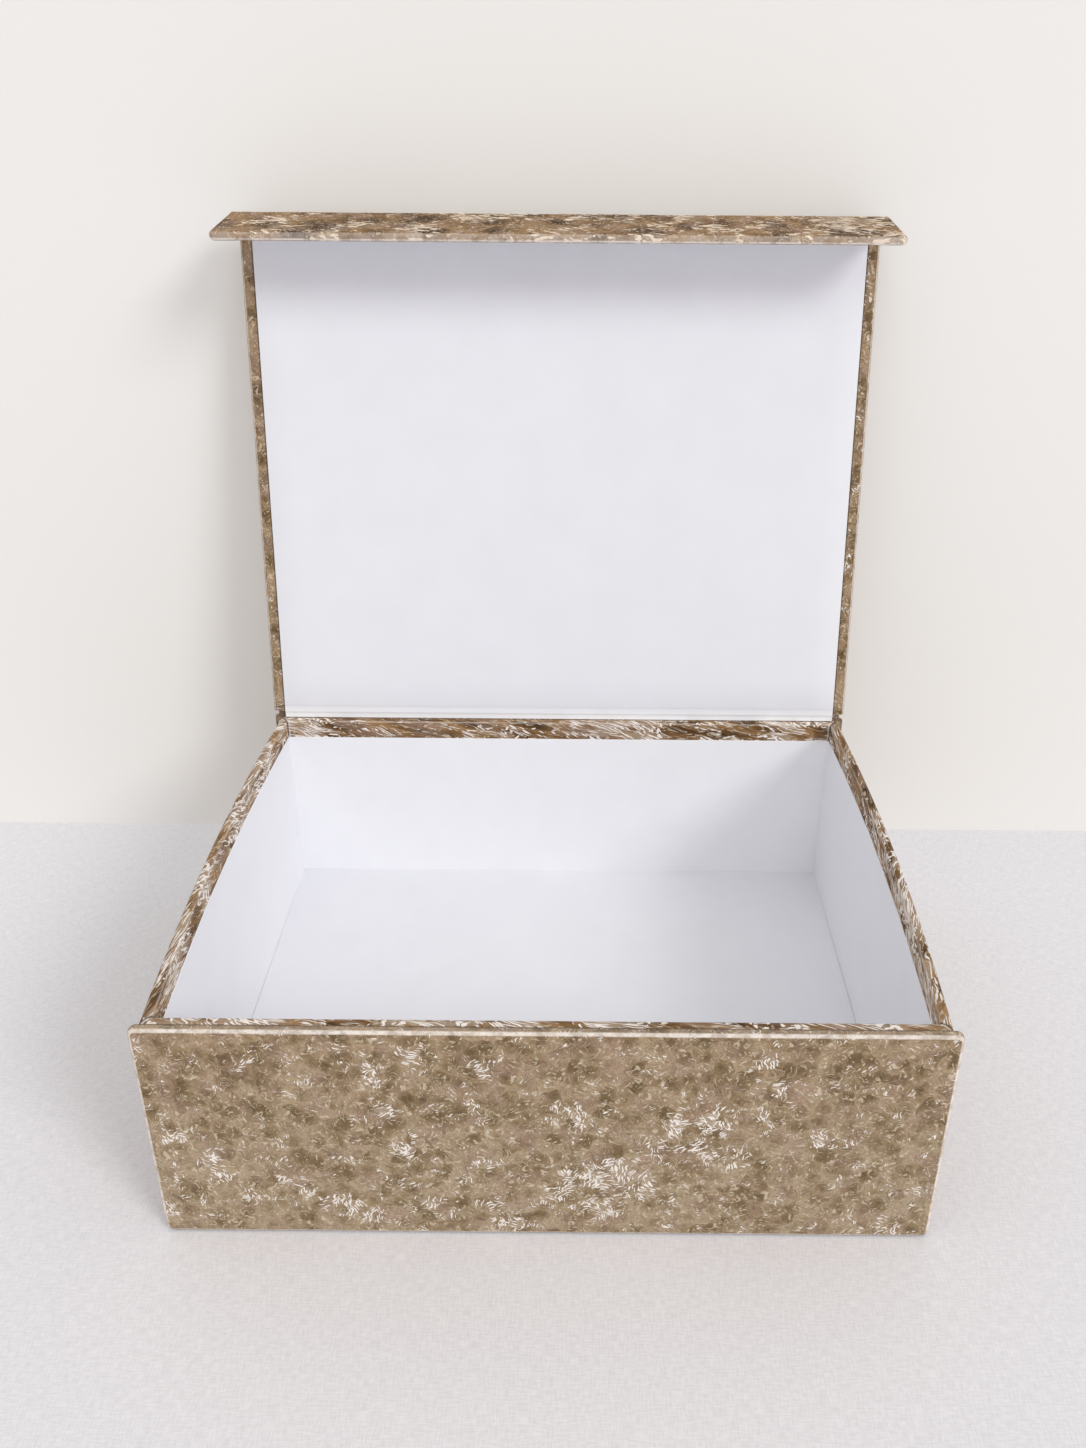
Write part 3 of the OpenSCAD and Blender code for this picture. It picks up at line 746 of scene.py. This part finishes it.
# Painted shade: in each mitre, on the strip's outside behind the front and back boards, and along the foot
# where the tray stands on the base
def strip_shade(vert):
    mitre = -1 < from_corner(ring[vert[along]]) < 0.1 and vert[row] > rim_row - 5
    behind_front = abs(ring[vert[along]][1]) == 1 and vert[row] < rim_row - 3
    return 0.85 if mitre or behind_front else 0.4 if vert.co.z < TRAY_Z + 1 else 0.0


def strip_place(loop):
    """The flat map. On the rim the pile is combed along and aslant, so its map is drawn out."""
    step = loop.vert[along]
    if step == 0 and max(other.vert[along] for other in loop.face.loops) > 2:
        step = len(ring)
    u, v = round_trip[step], run[loop.vert[row]]
    if min(other.vert[row] for other in loop.face.loops) > rim_row - 6:
        u = u * RIM_DRAWN + v * RIM_SLANT
    return (u * MM + 8.1, v * MM + 4.3)


# On the rim and down inside, the ground takes the deeper brown, partly painted shade where the pile is seen
# aslant
paint(mesh, strip_place, edge=strip_edge, shade=strip_shade,
      deep=lambda vert: min(1, max(0, (vert[row] - rim_row + 6) / 4)),
      crush=lambda vert: crush_field(Vector((round_trip[vert[along]], run[vert[row]], 0)), 6.0, 1.2)
      + (0.35 if vert[row] > rim_row - 5 else 0))
thickened(finish_piece(mesh, "tray_velvet", Matrix.Identity(4), velvet, "box", ["tray_wrap"]),
          CLOTH, -1)

# %% [markdown]
# ## The linings
#
# The walls are lined with card, cut to end just over the turned-in velvet. A card's cut edge
# catches the light as a thin white line, so every edge gets a small round. The side linings
# follow the bowed walls, and the lid's card shows the edge of the velvet beneath it as a faint step.

# %% Wall linings and floor card
# A cut edge's round, the gap behind a lining, and the step over the velvet's edge and its width
CUT_EDGE, CLEAR, STEP_UP, STEP_HALF = 0.18, 0.02, 0.12, 0.8
back, top = BOARD_IN + CLEAR, LINING_TOP_Z - CLEAR
LINING_SECTION = [(back, FLOOR_Z), (back, top), (LINING_IN - CUT_EDGE, top),
                  (LINING_IN, top - CUT_EDGE), (LINING_IN, FLOOR_Z)]
NEARLY = 0.99999  # the end linings stop a hair short of the corners

for name, stations, replaced in (
        ("left_lining", [(-1, s) for s in spaced(24)], "lining_left"),
        ("right_lining", [(1, s) for s in spaced(24)], "lining_right"),
        ("front_lining", [(s, -1) for s in (-NEARLY, NEARLY)], "lining_front"),
        ("back_lining", [(s, 1) for s in (-NEARLY, NEARLY)], "lining_back")):
    mesh, _, _ = sweep(LINING_SECTION, stations, False, True)
    finish_piece(mesh, name, Matrix.Identity(4), card, "box", [replaced])

# The floor card is a close fit: its edges touch the linings and only a fine line shows between them
floor_w, floor_d = 2 * (TRAY_HW - LINING_IN) + 0.1, 2 * (TRAY_HD - LINING_IN)
mesh = soft_box(floor_w, floor_d, FLOOR_CARD)
bevelled(mesh, mesh.edges[:], 0.12, 2)
finish_piece(mesh, "floor_lining", Matrix.Translation((0, -floor_d / 2, FLOOR_Z)), card,
             "box", ["floor_card"])


# %% Lid and flap linings
def panel_card(name, width, length, margins, turn_in, place, body, replaced):
    """A card on a wrapped board's inner face, with the velvet's edge showing through as a step."""
    card_w, card_l = width - 2 * LID_MARGIN, length - margins[0] - margins[1]
    mesh = soft_box(card_w, card_l, LINING)
    bmesh.ops.translate(mesh, verts=mesh.verts, vec=(0, margins[0], -LINING))
    bevelled(mesh, mesh.edges[:], CUT_EDGE, 2)
    for axis, at in ((0, -width / 2 + turn_in), (0, width / 2 - turn_in),
                     (1, turn_in), (1, length - turn_in)):
        for shift in (-STEP_HALF, STEP_HALF):
            cut_at(mesh, axis, at + shift)
    for vert in mesh.verts:
        inside_window = (abs(vert.co.x) < width / 2 - turn_in and turn_in < vert.co.y < length - turn_in)
        if inside_window and vert.co.z < -LINING + 0.05:
            vert.co.z += STEP_UP
    finish_piece(mesh, name, place, lid_card_painted_darker, body, replaced)


panel_card("lid_card", CASE_W, LID_L, (LID_MARGIN, STRIP_ON_LID), TURN_IN_LID, PLACES["lid"], "lid",
           ["lid_lining"])
panel_card("flap_card", FLAP_W, FLAP_L, (FLAP_MARGIN, FLAP_MARGIN), TURN_IN_FLAP, PLACES["flap"], "flap",
           ["flap_lining"])

# %% [markdown]
# ## The hinges
#
# The hinges are only cloth outside and paper inside. Each is a ribbon across the box: a row of
# points makes its bent section, which is extruded from side to side. The lid's two ribbons bend
# between the box and the lid. The flap turns at two creases, about a body of its own between them,
# and its velvet bends at the second. Its paper crosses both, and is two ribbons that meet.

# %% Ribbons
def turned(point, axis, degrees):
    """(y, z) turned about (y, z), as the measured model does."""
    moved = turned_about(axis, degrees) @ Vector((0, point[0], point[1]))
    return (moved.y, moved.z)


def opened(y, z):
    return turned((y, z), LID_AXIS, -LID_OPEN)


def drooped(y, z):
    return opened(*turned((y, z), FOLD_AXIS, FLAP_DROOP))


def ribbon(name, section, width, material, slot, thickness, seed, replaced, creases=(), fold=0.0, step=4):
    """A bent ribbon: its (y, z) section is extruded along x, cut finely and given a thickness."""
    mesh = bmesh.new()
    run = mesh.verts.layers.float.new("run")
    points = [mesh.verts.new((-width / 2, y, z)) for y, z in section]
    for before, after in zip(points, points[1:]):
        after[run] = reach = before[run] + (after.co - before.co).length
    chain = [mesh.edges.new(p) for p in zip(points, points[1:])]
    made = bmesh.ops.extrude_edge_only(mesh, edges=chain)["geom"]
    far_side = [v for v in made if isinstance(v, bmesh.types.BMVert)]
    bmesh.ops.translate(mesh, verts=far_side, vec=(width, 0, 0))
    bmesh.ops.recalc_face_normals(mesh, faces=mesh.faces)
    cut_grid(mesh, -width / 2, width / 2, step, 0)
    # At a fold the cloth's pale line is partly open pile and partly a painted highlight, its ground is a
    # little deeper, partly as painted shade, and creases take thin lines of painted grey shade
    paint(mesh, lambda loop: (loop.vert.co.x * MM + seed, loop.vert[run] * MM + seed),
          edge=lambda vert: fold if vert[run] > 0.5 * reach else 0.0, deep=lambda vert: 0.6,
          crush=lambda vert: crush_field(vert.co, seed, 1.0) if slot == "velvet" else 0.0,
          shade=lambda vert: max([amount for (y, z), amount in creases
                                  if abs(vert.co.y - y) + abs(vert.co.z - z) < 0.02], default=0.0))
    return thickened(finish_piece(mesh, name, Matrix.Identity(4), material, None, replaced),
                     thickness, 0)


def bent_between(a, b, sag, steps=5):
    """Points from a to b on a shallow curve that sags sideways by sag."""
    (ya, za), (yb, zb) = a, b
    length = math.hypot(yb - ya, zb - za) or 1
    ny, nz = (zb - za) / length, -(yb - ya) / length
    rows = []
    for i in range(steps + 1):
        t = i / steps
        bulge = sag * 4 * t * (1 - t)
        rows.append((ya + (yb - ya) * t + ny * bulge, za + (zb - za) * t + nz * bulge))
    return rows


half = VELVET / 2
spine_top = (CASE_D / 2 - half, RIM_Z)
lid_rear = opened(LID_REAR_Y, LID_Z + COVERED - half)
lid_cloth = ribbon("lid_hinge_velvet", bent_between(spine_top, lid_rear, 0.25), CASE_W - 2 * EDGE_R, velvet,
                   "velvet", VELVET, 7.0, ["lid_hinge_cloth"])
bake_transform(lid_cloth)

rim_back = (TRAY_HD - STRIP / 2, RIM_Z)
lid_corner = opened(LID_REAR_Y, LID_Z - STRIP / 2)
card_edge = opened(LID_REAR_Y - STRIP_ON_LID, LID_Z - STRIP / 2)
paper_run = bent_between(rim_back, lid_corner, 0.3)
# Thin lines of painted grey shade at the card's edge and in the paper's crease
lid_paper = ribbon("lid_hinge_paper", paper_run + [card_edge], CASE_W - 2 * LID_MARGIN, hinge_paper,
                   "hinge_paper", STRIP, 8.0, ["lid_hinge_strip"],
                   creases=[(card_edge, 0.25), (paper_run[4], 0.2)])
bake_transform(lid_paper)

lid_front = opened(LID_FRONT_Y, LID_Z + COVERED - half)
flap_back = drooped(FLAP_Y - COVERED + half, FLAP_TOP_Z)
# The flap's hinge velvet has a pale line at the fold, partly open pile and partly a painted highlight
flap_cloth = ribbon("flap_hinge_velvet", bent_between(lid_front, flap_back, -0.3), CASE_W - 2 * EDGE_R,
                    velvet, "velvet", VELVET, 9.0, ["flap_hinge_cloth"], fold=0.8)
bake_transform(flap_cloth)

fold = 1.5 * STRIP + FLAP_DROP
lid_end = opened(LID_FRONT_Y + LID_MARGIN, LID_Z - STRIP / 2)
lid_turn = opened(LID_FRONT_Y + fold + 2 * STRIP, LID_Z - STRIP / 2)
flap_turn = drooped(FLAP_Y + STRIP / 2, FLAP_TOP_Z - fold)
flap_end = drooped(FLAP_Y + STRIP / 2, FLAP_TOP_Z - FLAP_MARGIN)
# The paper crosses both creases, and a piece can bend at one joint only. It is two ribbons that
# meet between the creases, where both follow the fold: one on the lid's side, the other on the
# flap's side.
fold_middle = tuple((a + b) / 2 for a, b in zip(lid_turn, flap_turn))
lid_side = ribbon("flap_hinge_paper_lid_side", [lid_end] + bent_between(lid_turn, fold_middle, 0.0, 3),
                  CASE_W - 2 * LID_MARGIN, hinge_paper, "hinge_paper", STRIP, 10.0, ["flap_hinge_strip"])
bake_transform(lid_side)
flap_side = ribbon("flap_hinge_paper_flap_side", bent_between(fold_middle, flap_turn, 0.0, 3) + [flap_end],
                   CASE_W - 2 * LID_MARGIN, hinge_paper, "hinge_paper", STRIP, 10.0, ["flap_hinge_strip"])
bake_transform(flap_side)

# %% [markdown]
# ## Floor, wall and light
#
# The box stands on a pale grey linen cloth, with a warm off-white wall close behind it. The light
# is soft and comes from the front right, so that a faint shadow falls to the box's left.

# %% Stage
WALL_BEHIND = 50 * MM
ROOM_LIGHT, ROOM_SEEN = 0.72, 0.85
wall_y = CASE_D / 2 * MM + WALL_BEHIND


def stage_plane(name, place, size, material):
    """A flat part of the room: seen in the picture, but no piece of the box."""
    mesh = bmesh.new()
    bmesh.ops.create_grid(mesh, x_segments=1, y_segments=1, size=size)
    mesh.transform(place)
    plane = shown(name, mesh, material)
    return plane


def linen_material():
    """Plain-woven linen: short thick and thin threads lie across each other, under a millimetre apart."""
    material, tree = new_material("grey linen cloth")
    place = node(tree, "ShaderNodeTexCoord").outputs["Object"]
    weave = None
    for long_mm, wide_mm in ((4.5, 0.7), (0.7, 4.5)):
        drawn = node(tree, "ShaderNodeMapping", {"Vector": place, "Scale": (long_mm * MM, wide_mm * MM, 1)},
                     vector_type="TEXTURE").outputs[0]
        thread = node(tree, "ShaderNodeTexNoise", {"Vector": drawn, "Scale": 1.0, "Detail": 2.0},
                      noise_dimensions="2D").outputs["Fac"]
        weave = thread if weave is None else sums(tree, "ADD", weave, thread)
    colour = scaled(tree, linear("f0eef1")[:3], spread(tree, weave, 0.7, 1.3, 0.93, 1.05))
    bump = node(tree, "ShaderNodeBump", {"Height": weave, "Strength": 0.3, "Distance": 0.1 * MM})
    return surfaced(material, node(tree, "ShaderNodeBsdfPrincipled", {
        "Base Color": colour, "Roughness": 0.95, "Specular IOR Level": 0.1, "Normal": bump.outputs[0]}))


def wall_material():
    """Matt paint in front. From behind the wall is clear, so that the box's back can be looked at."""
    material, tree = new_material("matt painted wall")
    paint_side = node(tree, "ShaderNodeBsdfPrincipled", {
        "Base Color": linear("f1efec"), "Roughness": 0.95, "Specular IOR Level": 0.1})
    clear_side = node(tree, "ShaderNodeBsdfTransparent")
    behind = node(tree, "ShaderNodeNewGeometry").outputs["Backfacing"]
    return surfaced(material, node(tree, "ShaderNodeMixShader", {
        0: behind, 1: paint_side.outputs[0], 2: clear_side.outputs[0]}))


stage_plane("table", Matrix.Translation((0, 0, -0.0002)), 3, linen_material())
wall = stage_plane("wall", Matrix.Translation((0, wall_y, 0)) @ Matrix.Rotation(math.radians(90), 4, "X"), 3,
                   wall_material())
# The wall is only a backdrop: it catches the box's shadow, but keeps no light from the box's back
wall.visible_shadow = wall.visible_diffuse = wall.visible_glossy = False

world = bpy.data.worlds.new("room light")
world.use_nodes = True
room = world.node_tree
room_light = room.nodes["Background"]
room_light.inputs["Color"].default_value = linear("f6f5f4")
seen = node(room, "ShaderNodeLightPath").outputs["Is Camera Ray"]
room.links.new(spread(room, seen, 0.0, 1.0, ROOM_LIGHT, ROOM_SEEN), room_light.inputs["Strength"])
bpy.context.scene.world = world


def lamp(name, towards, degrees_wide, strength):
    """Light from far away, soft because it comes from a disc of the sky this many degrees wide."""
    light = bpy.data.lights.new(name, "SUN")
    light.angle = math.radians(degrees_wide)
    light.energy = strength
    placed = bpy.data.objects.new(name, light)
    placed.rotation_euler = (-Vector(towards)).to_track_quat("-Z", "Y").to_euler()
    bpy.context.scene.collection.objects.link(placed)


# The window is at the front right, and the ceiling in front throws a little of its light back
lamp("window", (0.60, -0.58, 0.55), 20, 1.05)
lamp("ceiling", (0.0, -0.75, 0.66), 30, 0.38)
bpy.context.scene.view_settings.view_transform = "Standard"
print("the wall stands", round(WALL_BEHIND / MM), "mm behind the box")
